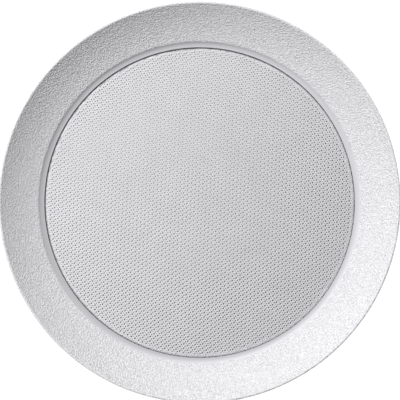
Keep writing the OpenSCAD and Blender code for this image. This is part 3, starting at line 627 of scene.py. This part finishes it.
def hexagon_field(bm, along, across, reach):
    """Fills a disc with six-sided cells that meet edge to edge, by doubling one cell."""
    # A regular cell whose neighbours lie 1 apart, at 90 degrees and at -30 degrees
    turned = Matrix.Rotation(math.radians(30), 4, "Z")
    bmesh.ops.create_circle(bm, cap_ends=True, segments=6, radius=1 / math.sqrt(3), matrix=turned)
    regular = Matrix(((0.0, math.cos(math.radians(-30))), (1.0, math.sin(math.radians(-30)))))
    wanted = Matrix(((along.x, across.x), (along.y, across.y)))
    bmesh.ops.transform(bm, matrix=(wanted @ regular.inverted()).to_4x4(), verts=bm.verts)
    doublings = math.ceil(math.log2(2.4 * reach / min(along.length, across.length)))
    for step in (along, across):
        for i in range(doublings):
            copy = bmesh.ops.duplicate(bm, geom=bm.verts[:] + bm.edges[:] + bm.faces[:])
            verts = [g for g in copy["geom"] if isinstance(g, bmesh.types.BMVert)]
            shift = (step * 2 ** i).to_3d()
            bmesh.ops.translate(bm, verts=verts, vec=shift)
    half = 2 ** (doublings - 1)
    bmesh.ops.translate(bm, verts=bm.verts, vec=(-(along + across) * half).to_3d())
    outside = [f for f in bm.faces if f.calc_center_median().length > reach]
    bmesh.ops.delete(bm, geom=outside, context="FACES")
    bmesh.ops.remove_doubles(bm, verts=bm.verts, dist=0.02 * MM)


def place_in_row(face, along, across):
    """0 or 1 for the cells of a pair of large holes, 2 for the cell of a small one."""
    spot = face.calc_center_median()
    area = along.x * across.y - along.y * across.x
    row = (spot.x * across.y - spot.y * across.x) / area
    column = (along.x * spot.y - along.y * spot.x) / area
    return (round(row) + round(column)) % 3


def perforated_dome(bm, settings, edge_r, crown_z):
    """A domed sheet with a hole in each cell; the smallest cells at the edge stay plain."""
    along, across = hole_steps(settings)
    pitch = max(along.length, across.length, (along + across).length)
    hexagon_field(bm, along, across, edge_r + pitch / 2)
    for vert in bm.verts:
        if vert.co.length > edge_r:
            vert.co *= edge_r / vert.co.length
    bmesh.ops.remove_doubles(bm, verts=bm.verts, dist=0.03 * MM)
    bmesh.ops.dissolve_degenerate(bm, dist=0.01 * MM, edges=bm.edges)
    for face in bm.faces:
        if face.normal.z < 0:
            face.normal_flip()
    full = abs(along.x * across.y - along.y * across.x)
    holes = [f for f in bm.faces if f.calc_area() > SMALLEST_CELL * full]
    places = {f: place_in_row(f, along, across) for f in holes}
    for place, land in enumerate((settings.land, settings.land, settings.small_land)):
        cells = [f for f in holes if places[f] == place]
        whole = [f for f in cells if f.calc_area() > WHOLE_CELL * full]
        part = [f for f in cells if f.calc_area() <= WHOLE_CELL * full]
        for some, width in ((whole, land), (part, land * PART_LAND)):
            bmesh.ops.inset_individual(
                bm, faces=some, thickness=width, depth=-settings.roll, use_even_offset=True
            )
        aside = along.normalized() * settings.pairing * (-1, 1, 0)[place]
        rims = {v for f in whole for v in f.verts}
        bmesh.ops.translate(bm, verts=list(rims), vec=aside.to_3d())
    bmesh.ops.delete(bm, geom=holes, context="FACES")
    ball_r = (edge_r ** 2 + settings.rise ** 2) / (2 * settings.rise)
    for vert in bm.verts:
        out = vert.co.xy.length
        drop = ball_r - math.sqrt(ball_r ** 2 - out ** 2)
        past = max(0.0, out - edge_r + settings.bend)
        curl = settings.bend - math.sqrt(max(0.0, settings.bend ** 2 - past ** 2))
        vert.co.z += crown_z - drop - curl


class SpeakerGrille(bpy.types.Operator):
    """Make the domed grille with its staggered micro-perforation, and dress the cloth under it."""

    bl_idname = "speaker.grille"
    bl_label = "Grille"

    def execute(self, context):
        shell = context.scene.speaker_shell
        settings = context.scene.speaker_grille
        opening_r = BODY_R - shell.rim_edge - shell.dish_width - shell.lip_width
        edge_r = opening_r - settings.gap
        crown_z = GRILLE_HIGH.z
        low = GRILLE_LOW.z
        sheet = settings.sheet
        bm = bmesh.new()
        perforated_dome(bm, settings, edge_r, crown_z)
        skirt = bmesh.new()
        skirt_top = crown_z - settings.rise - settings.bend
        spin_profile(skirt, [
            (edge_r - sheet, low), (GRILLE_HIGH.x, low), (GRILLE_HIGH.x, low + sheet),
            (edge_r, low + sheet), (edge_r, skirt_top), (edge_r - sheet, skirt_top),
        ], GRILLE_STEPS)
        part = bpy.data.meshes.new("skirt")
        skirt.to_mesh(part)
        skirt.free()
        bm.from_mesh(part)
        bpy.data.meshes.remove(part)
        aside = Matrix.Rotation(settings.shift_turn, 3, "Z") @ Vector((settings.shift, 0.0, 0.0))
        bmesh.ops.translate(bm, verts=bm.verts, vec=aside)
        metal = finish(
            "grille_steel", settings.metal, 0.3, metal=1.0, grain=0.16, tint=0.05,
            wander=0.08, bump=0.006, contrast=2.2, cloud=3.0, cloud_tint=0.03,
        )
        keep(bm, "grille_sheet", SHELL_BODY, [metal], stands_for=("grille",),
             angle=50.0)
        dress("dust_cloth", finish(
            "dust_cloth", settings.cloth, 0.9, kind="weave", grain=0.12, tint=0.25, wander=0.05,
            bump=0.02,
        ))
        return {"FINISHED"}


# Base plate and foot
class SpeakerBase(bpy.types.Operator):
    """Make the base plate and the rubber foot in its groove."""

    bl_idname = "speaker.base"
    bl_label = "Base and foot"

    def execute(self, context):
        shell = context.scene.speaker_shell
        base = context.scene.speaker_base
        base_r = BASE_HIGH.x
        low = BASE_LOW.z
        collar_r = BODY_R - shell.wall - base.collar_gap
        groove_z = low + base.groove
        out_r = FOOT_HIGH.x + base.groove_room
        in_r = FOOT_HIGH.x - base.foot_width - base.groove_room
        cut = base.chamfer
        bm = bmesh.new()
        spin_profile(bm, [
            (0.0, low), (in_r, low), (in_r, groove_z), (out_r, groove_z), (out_r, low),
            (base_r - cut, low), (base_r - cut * 0.4, low + cut * 0.25),
            (base_r - cut * 0.1, low + cut * 0.6), (base_r, low + cut),
            (base_r, SHELL_Z - BASE_EDGE), (base_r - BASE_EDGE, SHELL_Z),
            (collar_r, SHELL_Z), (collar_r, BASE_HIGH.z),
            (collar_r - base.collar, BASE_HIGH.z), (collar_r - base.collar, SHELL_Z),
            (0.0, SHELL_Z),
        ], BASE_STEPS, closed=False)
        plastic = finish(
            "base_plastic", base.plastic, 0.52, grain=0.14, tint=0.03, wander=0.08, bump=0.012,
            cloud=8.0,
        )
        keep(bm, "base_cover", SHELL_BODY, [plastic], stands_for=("base_plate",))
        foot_out, foot_in = FOOT_HIGH.x, FOOT_HIGH.x - base.foot_width
        round_by = base.foot_bevel
        bm = bmesh.new()
        points = [(foot_in, FOOT_HIGH.z)]
        points += arc((foot_in + round_by, round_by), round_by, math.pi, 1.5 * math.pi, 4)
        rib_step = (base.foot_width - 2 * round_by) / (RIBS + 1)
        for i in range(1, RIBS + 1):
            middle = foot_in + round_by + i * rib_step
            points += [(middle - RIB_HALF, 0.0), (middle - RIB_HALF / 2, RIB_DEEP),
                       (middle + RIB_HALF / 2, RIB_DEEP), (middle + RIB_HALF, 0.0)]
        points += arc((foot_out - round_by, round_by), round_by, 1.5 * math.pi, 2 * math.pi, 4)
        points += [(foot_out, FOOT_HIGH.z)]
        spin_profile(bm, points, BASE_STEPS)
        rubber = finish(
            "foot_rubber", base.rubber, 0.78, grain=0.1, tint=0.06, wander=0.08, bump=0.01,
            cloud=4.0,
        )
        keep(bm, "foot_pad", SHELL_BODY, [rubber], stands_for=("foot_ring",))
        return {"FINISHED"}


# Buttons
def bent(bm, from_y, radius):
    """Bends what lies past a depth round the housing, so that a flat front becomes part of its side."""
    for vert in bm.verts:
        if vert.co.y > from_y:
            vert.co.y -= radius - math.sqrt(radius ** 2 - vert.co.x ** 2)


def button_cap(settings, wall, angle):
    """A button: a lip behind the wall, and a cap with a soft front edge."""
    lip_front = BODY_R - wall - settings.lip_gap
    lip_back = lip_front - settings.lip_thick
    front = BODY_R + settings.proud
    bm = bmesh.new()
    face = slot_face(
        bm, settings.width + 2 * settings.lip, settings.height + 2 * settings.lip, lip_back
    )
    face = pull(bm, face, settings.lip_thick)
    inset(bm, face, settings.lip)
    face = pull(bm, face, front - lip_front)
    rim = list(face.edges)
    bmesh.ops.bevel(
        bm, geom=rim, offset=settings.edge, segments=5, profile=0.5, affect="EDGES", material=-1
    )
    bmesh.ops.recalc_face_normals(bm, faces=bm.faces)
    flat = max((f for f in bm.faces if f.normal.y > 0.9), key=lambda f: f.calc_center_median().y)
    bmesh.ops.triangulate(bm, faces=[flat])
    bmesh.ops.subdivide_edges(
        bm, edges=[e for e in bm.edges if e.calc_length() > 0.6 * MM
                   and min(v.co.y for v in e.verts) > lip_front + 0.1 * MM],
        cuts=3, use_grid_fill=True,
    )
    bent(bm, lip_back + 0.3 * MM, BODY_R)
    bmesh.ops.transform(bm, matrix=facing(angle, KEY_Z), verts=bm.verts)
    return bm


def stroke(bm, length, width, y, upright):
    """One raised stroke with round ends that lies on a button's front."""
    part = bmesh.new()
    face = slot_face(part, length, width, y - MARK_SUNK, segments=5)
    pull(part, face, MARK_SUNK + MARK_HIGH)
    bmesh.ops.recalc_face_normals(part, faces=part.faces)
    if upright:
        bmesh.ops.rotate(part, verts=part.verts, cent=(0, 0, 0),
                         matrix=Matrix.Rotation(math.pi / 2, 3, "Y"))
    mesh = bpy.data.meshes.new("stroke")
    part.to_mesh(mesh)
    part.free()
    bm.from_mesh(mesh)
    bpy.data.meshes.remove(mesh)


class SpeakerKeys(bpy.types.Operator):
    """Make the three buttons and their marks."""

    bl_idname = "speaker.keys"
    bl_label = "Buttons"

    def execute(self, context):
        shell = context.scene.speaker_shell
        settings = context.scene.speaker_keys
        plastic = finish(
            "button_plastic", settings.plastic, 0.45, grain=0.1, tint=0.02, wander=0.06,
            bump=0.006, cloud=3.0,
        )
        ink = finish(
            "button_ink", settings.ink, 0.6, grain=0.05, tint=0.08, wander=0.1, bump=0.003,
            cloud=1.0,
        )
        front = BODY_R + settings.proud
        for name in KEYS:
            angle = key_angle(name)
            bm = button_cap(settings, shell.wall, angle)
            keep(bm, name + "_cap", name + "_key", [plastic],
                 stands_for=(name + "_button",))
            bm = bmesh.new()
            if name == "power":
                stroke(bm, settings.stroke * 2.2, settings.stroke * 2.19, front, False)
            else:
                stroke(bm, settings.mark, settings.stroke, front, False)
            if name == "volume_up":
                stroke(bm, settings.mark, settings.stroke * 0.999, front, True)
            bent(bm, 0.0, BODY_R)
            bmesh.ops.transform(bm, matrix=facing(angle, KEY_Z), verts=bm.verts)
            keep(bm, name + "_mark", name + "_key", [ink])
        return {"FINISHED"}


# Charging socket and status light
class SpeakerSocket(bpy.types.Operator):
    """Make the charging socket with its contacts, and the light pipe."""

    bl_idname = "speaker.socket"
    bl_label = "Socket and light"

    def execute(self, context):
        settings = context.scene.speaker_socket
        angle = angle_of("usb_shell")
        mouth = BODY_R - settings.recess
        bm = bmesh.new()
        face = slot_face(bm, settings.width, settings.height, mouth - settings.depth, segments=12)
        face = pull(bm, face, settings.depth)
        inset(bm, face, settings.sheet)
        lips = [e for e in bm.edges if min(v.co.y for v in e.verts) > mouth - 1e-6
                and len(e.link_faces) == 2
                and any(f.calc_center_median().y < mouth - 1e-5 for f in e.link_faces)]
        pull(bm, face, settings.sheet - settings.depth)
        bmesh.ops.bevel(
            bm, geom=lips, offset=0.09 * MM, segments=3, profile=0.5, affect="EDGES", material=-1
        )
        bmesh.ops.recalc_face_normals(bm, faces=bm.faces)
        bmesh.ops.transform(bm, matrix=facing(angle, KEY_Z), verts=bm.verts)
        steel = finish(
            "socket_steel", (0.62, 0.62, 0.63), 0.26, metal=1.0, grain=0.3, tint=0.03,
            wander=0.06, bump=0.002, cloud=2.0,
        )
        keep(bm, "socket_shell", SHELL_BODY, [steel], stands_for=("usb_shell",))
        self.contacts(angle, mouth)
        self.light(settings)
        return {"FINISHED"}

    def contacts(self, angle, mouth):
        """Twelve gold pads on each face of the socket's tongue."""
        count, pitch, wide, deep, thick = 12, 0.5 * MM, 0.27 * MM, 3.4 * MM, 0.02 * MM
        tongue_low, tongue_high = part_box("usb_tongue")
        half_t = 0.35 * MM
        bm = bmesh.new()
        for side in (-1, 1):
            for i in range(count):
                x = (i - (count - 1) / 2) * pitch
                place = Matrix.Translation((x, mouth - 1.0 * MM - deep / 2, side * half_t))
                size = Matrix.Diagonal((wide, deep, thick, 1.0))
                bmesh.ops.create_cube(bm, size=1.0, matrix=place @ size)
        bmesh.ops.bevel(
            bm, geom=bm.edges[:], offset=0.006 * MM, segments=1, profile=0.5, affect="EDGES",
            material=-1,
        )
        height = (tongue_low.z + tongue_high.z) / 2
        bmesh.ops.transform(bm, matrix=facing(angle, height), verts=bm.verts)
        gold = finish(
            "contact_gold", (0.83, 0.62, 0.24), 0.25, metal=1.0, grain=0.05, tint=0.05,
            wander=0.05, bump=0.001, cloud=1.0,
        )
        keep(bm, "socket_contacts", SHELL_BODY, [gold])

    def light(self, settings):
        """The light pipe: a short rod with a domed end and a collar behind the wall."""
        low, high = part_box("light_pipe")
        angle = angle_of("light_pipe")
        radius = settings.light / 2
        wall_in = BODY_R - bpy.context.scene.speaker_shell.wall - 0.1 * MM
        back, front = BODY_R - 4.2 * MM, BODY_R - 0.1 * MM
        collar = radius + 0.5 * MM
        bm = bmesh.new()
        points = [(0.0, back), (radius, back), (radius, wall_in - 0.7 * MM),
                  (collar, wall_in - 0.7 * MM), (collar, wall_in - 0.1 * MM),
                  (radius, wall_in - 0.1 * MM), (radius, front - 0.25 * MM)]
        points += [(radius * math.cos(a), front - 0.25 * MM * (1 - math.sin(a)))
                   for a in (0.3, 0.7, 1.1)]
        points += [(0.0, front)]
        spin_profile(bm, points, 40, closed=False)
        bmesh.ops.rotate(bm, verts=bm.verts, cent=(0, 0, 0),
                         matrix=Matrix.Rotation(-math.pi / 2, 3, "X"))
        height = (low.z + high.z) / 2
        bmesh.ops.transform(bm, matrix=facing(angle, height), verts=bm.verts)
        clear = finish(
            "light_pipe", (0.86, 0.88, 0.90), 0.3, grain=0.1, tint=0.02, wander=0.06,
            bump=0.002, cloud=1.0, subsurface_weight=0.0,
        )
        keep(bm, "light_window", SHELL_BODY, [clear], stands_for=("light_pipe",))


# The pieces inside keep their CAD shapes: each finish, with the nodes that have it
INSIDE = {
    "seal_foam": (
        ("grille_seal", "chamber_seal", "driver_gasket"),
        (0.05, 0.05, 0.05), 0.95, {"grain": 0.3, "bump": 0.05},
    ),
    "screw_steel": (
        ("base_screws", "board_screws", "driver_screws"),
        (0.42, 0.42, 0.44), 0.35, {"metal": 1.0, "kind": "rings"},
    ),
    "plunger_plastic": (
        ("power_plunger", "volume_down_plunger", "volume_up_plunger"),
        (0.03, 0.03, 0.03), 0.5, {"grain": 0.1},
    ),
    "switch_cover": (("switch_bodies",), (0.55, 0.55, 0.56), 0.32, {"metal": 1.0}),
    "tongue_plastic": (("usb_tongue",), (0.02, 0.02, 0.02), 0.5, {"grain": 0.1}),
    "led_resin": (("light_chip",), (0.85, 0.74, 0.30), 0.3, {"grain": 0.2, "tint": 0.08}),
    "gold_can": (("microphone",), (0.80, 0.62, 0.28), 0.3, {"metal": 1.0}),
    "boot_rubber": (("microphone_boot", "wire_grommet"), (0.03, 0.03, 0.03), 0.8, {"grain": 0.1}),
    "solder_mask": (
        ("main_board", "protection_board"),
        (0.01, 0.11, 0.05), 0.35, {"kind": "weave", "grain": 1.3, "tint": 0.3},
    ),
    "chip_epoxy": (
        ("processor_chip", "amplifier_chip"),
        (0.02, 0.02, 0.02), 0.6, {"grain": 0.08, "bump": 0.01},
    ),
    "ferrite": (("inductors",), (0.08, 0.08, 0.085), 0.7, {"grain": 0.15, "bump": 0.02}),
    "capacitor_can": (("capacitors",), (0.68, 0.68, 0.69), 0.3, {"metal": 1.0, "kind": "bands"}),
    "white_ceramic": (("antenna",), (0.82, 0.82, 0.78), 0.35, {"grain": 0.2}),
    "connector_nylon": (
        ("battery_connector", "speaker_connector"), (0.76, 0.72, 0.58), 0.5, {"grain": 0.2},
    ),
    "cell_foil": (
        ("battery_cell",),
        (0.50, 0.53, 0.57), 0.38, {"metal": 0.6, "grain": 0.8, "bump": 0.02, "tint": 0.06},
    ),
    "foam_tape": (("battery_pad",), (0.82, 0.82, 0.80), 0.9, {"grain": 0.25, "bump": 0.03}),
    "lead_sleeve": (("battery_leads", "speaker_leads"), (0.42, 0.02, 0.02), 0.45, {"grain": 0.2}),
    "chamber_plastic": (
        ("rear_chamber", "baffle"), (0.05, 0.05, 0.055), 0.6, {"grain": 0.18, "bump": 0.015},
    ),
    "grey_felt": (
        ("damping_felt",), (0.25, 0.25, 0.24), 0.98, {"grain": 0.4, "bump": 0.12, "tint": 0.25},
    ),
    "basket_zinc": (("driver_basket",), (0.55, 0.55, 0.56), 0.4, {"metal": 1.0, "grain": 0.5}),
    "surround_rubber": (("surround",), (0.02, 0.02, 0.02), 0.6, {"grain": 0.1}),
    "cone_paper": (
        ("cone", "dust_cap"),
        (0.07, 0.07, 0.075), 0.75, {"grain": 0.25, "bump": 0.02, "tint": 0.2},
    ),
    "coil_film": (
        ("voice_coil_former",), (0.55, 0.35, 0.10), 0.4, {"kind": "bands", "grain": 0.4},
    ),
    "copper_turns": (
        ("voice_coil_winding",),
        (0.70, 0.30, 0.12), 0.28, {"metal": 1.0, "kind": "bands", "grain": 0.12, "bump": 0.03},
    ),
    "spider_cloth": (
        ("spider",),
        (0.58, 0.45, 0.20), 0.85, {"kind": "weave", "grain": 0.35, "tint": 0.2, "bump": 0.04},
    ),
    "motor_steel": (
        ("yoke", "pole_washer"), (0.50, 0.50, 0.51), 0.36, {"metal": 1.0, "kind": "rings"},
    ),
    "magnet_nickel": (("magnet",), (0.60, 0.60, 0.58), 0.18, {"metal": 1.0, "grain": 0.6}),
    "phenolic": (("terminal_board",), (0.26, 0.11, 0.04), 0.55, {"kind": "bands", "grain": 0.3}),
}


def dress(node, material):
    """Gives a CAD node its finish."""
    mesh = frame["nodes"][node].data
    mesh.materials.clear()
    mesh.materials.append(material)


class SpeakerInside(bpy.types.Operator):
    """Give the pieces inside the speaker their finishes."""

    bl_idname = "speaker.inside"
    bl_label = "Inside"

    def execute(self, context):
        for name, (nodes, tone, rough, extra) in INSIDE.items():
            material = finish(name, tone, rough, **extra)
            for node in nodes:
                dress(node, material)
        return {"FINISHED"}


# Floor, light and camera
class SpeakerStage(bpy.types.Operator):
    """Make the lit white table, the soft room light and the camera."""

    bl_idname = "speaker.stage"
    bl_label = "Stage"

    def execute(self, context):
        settings = context.scene.speaker_stage
        self.table(settings)
        self.room(context.scene, settings)
        self.camera(context.scene, settings)
        context.scene.view_settings.view_transform = "Standard"
        return {"FINISHED"}

    def table(self, settings):
        bm = bmesh.new()
        bmesh.ops.create_grid(bm, x_segments=1, y_segments=1, size=TABLE_HALF)
        mesh = bpy.data.meshes.new("table")
        bm.to_mesh(mesh)
        bm.free()
        table = bpy.data.objects.new("table", mesh)
        bpy.context.scene.collection.objects.link(table)
        material = finish("table_white", settings.floor, 0.7, grain=2.0, tint=0.005,
                          wander=0.02, bump=0.0, cloud=60.0, cloud_tint=0.005)
        shader = material.node_tree.nodes["Principled BSDF"]
        shader.inputs["Emission Color"].default_value = (1.0, 1.0, 1.0, 1.0)
        shader.inputs["Emission Strength"].default_value = settings.floor_glow
        mesh.materials.append(material)

    def room(self, scene, settings):
        """A pale room that is brighter on one side, as by a wide window."""
        world = bpy.data.worlds.new("room")
        scene.world = world
        world.use_nodes = True
        tree = world.node_tree
        ray = tree.nodes.new("ShaderNodeTexCoord").outputs["Generated"]
        flat = tree.nodes.new("ShaderNodeVectorMath")
        flat.operation = "MULTIPLY"
        flat.inputs[1].default_value = (1.0, 1.0, 0.0)
        tree.links.new(ray, flat.inputs[0])
        lean = tree.nodes.new("ShaderNodeVectorMath")
        lean.operation = "LENGTH"
        tree.links.new(flat.outputs[0], lean.inputs[0])
        lean = lean.outputs["Value"]
        low = math_node(tree, "POWER", lean, 2.0)
        high = math_node(tree, "SUBTRACT", 1.0, low)

        def side(turn_to, swing, weight):
            toward = tree.nodes.new("ShaderNodeVectorMath")
            toward.operation = "DOT_PRODUCT"
            toward.inputs[1].default_value = (math.cos(turn_to), math.sin(turn_to), 0.0)
            tree.links.new(ray, toward.inputs[0])
            scaled = math_node(tree, "MULTIPLY", toward.outputs["Value"], swing)
            return math_node(tree, "MULTIPLY", scaled, weight)

        walls = side(settings.wall_turn, settings.wall_swing, low)
        ceiling = side(settings.ceiling_turn, settings.ceiling_swing,
                       math_node(tree, "POWER", high, 4.0))
        both = math_node(tree, "ADD", walls, ceiling)
        lit = math_node(tree, "ADD", both, settings.light_mean)
        fade = tree.nodes.new("ShaderNodeMapRange")
        fade.interpolation_type = "SMOOTHSTEP"
        fade.inputs["From Max"].default_value = 0.12
        fade.inputs["To Min"].default_value = settings.horizon
        tree.links.new(high, fade.inputs["Value"])
        lit = math_node(tree, "MAXIMUM", lit, 0.05)
        strength = math_node(tree, "MULTIPLY", lit, fade.outputs["Result"])
        tree.nodes["Background"].inputs["Color"].default_value = (1.0, 1.0, 1.0, 1.0)
        tree.links.new(strength, tree.nodes["Background"].inputs["Strength"])

    def camera(self, scene, settings):
        data = bpy.data.cameras.new("camera")
        camera = bpy.data.objects.new("camera", data)
        scene.collection.objects.link(camera)
        back = Vector((0.0, -math.cos(settings.elevation), math.sin(settings.elevation)))
        aim = Vector((settings.aim_side, settings.aim_back, RIM_Z))
        camera.location = aim + back * settings.distance
        camera.rotation_mode = "QUATERNION"
        camera.rotation_quaternion = (-back).to_track_quat("-Z", "Y")
        data.sensor_width = 36.0
        data.lens = data.sensor_width * settings.distance / settings.frame_width
        data.clip_start, data.clip_end = 0.01, 10.0
        scene.camera = camera


class SpeakerPanel(bpy.types.Panel):
    """Lists the steps that dress the speaker."""

    bl_idname = "SPEAKER_PT_steps"
    bl_label = "Speaker"
    bl_space_type = "VIEW_3D"
    bl_region_type = "UI"
    bl_category = "Speaker"

    def draw(self, context):
        for step in STEPS:
            self.layout.operator(step.bl_idname)
        for name in SETTINGS:
            box = self.layout.box()
            box.label(text=name.replace("speaker_", "").title())
            group = getattr(context.scene, name)
            for prop in group.__annotations__:
                box.prop(group, prop)


STEPS = (SpeakerStage, SpeakerHousing, SpeakerGrille, SpeakerBase, SpeakerKeys, SpeakerSocket,
         SpeakerInside)
SETTINGS = {
    "speaker_shell": SpeakerShellSettings,
    "speaker_grille": SpeakerGrilleSettings,
    "speaker_keys": SpeakerKeySettings,
    "speaker_socket": SpeakerSocketSettings,
    "speaker_base": SpeakerBaseSettings,
    "speaker_stage": SpeakerStageSettings,
}
CLASSES = (*SETTINGS.values(), *STEPS, SpeakerPanel)


def register():
    for cls in CLASSES:
        bpy.utils.register_class(cls)
    for name, group in SETTINGS.items():
        setattr(bpy.types.Scene, name, bpy.props.PointerProperty(type=group))


def unregister():
    for name in SETTINGS:
        delattr(bpy.types.Scene, name)
    for cls in reversed(CLASSES):
        bpy.utils.unregister_class(cls)


def main():
    register()
    bpy.ops.speaker.stage()
    bpy.ops.speaker.housing()
    bpy.ops.speaker.grille()
    bpy.ops.speaker.base()
    bpy.ops.speaker.keys()
    bpy.ops.speaker.socket()
    bpy.ops.speaker.inside()


if __name__ == "__main__":
    main()
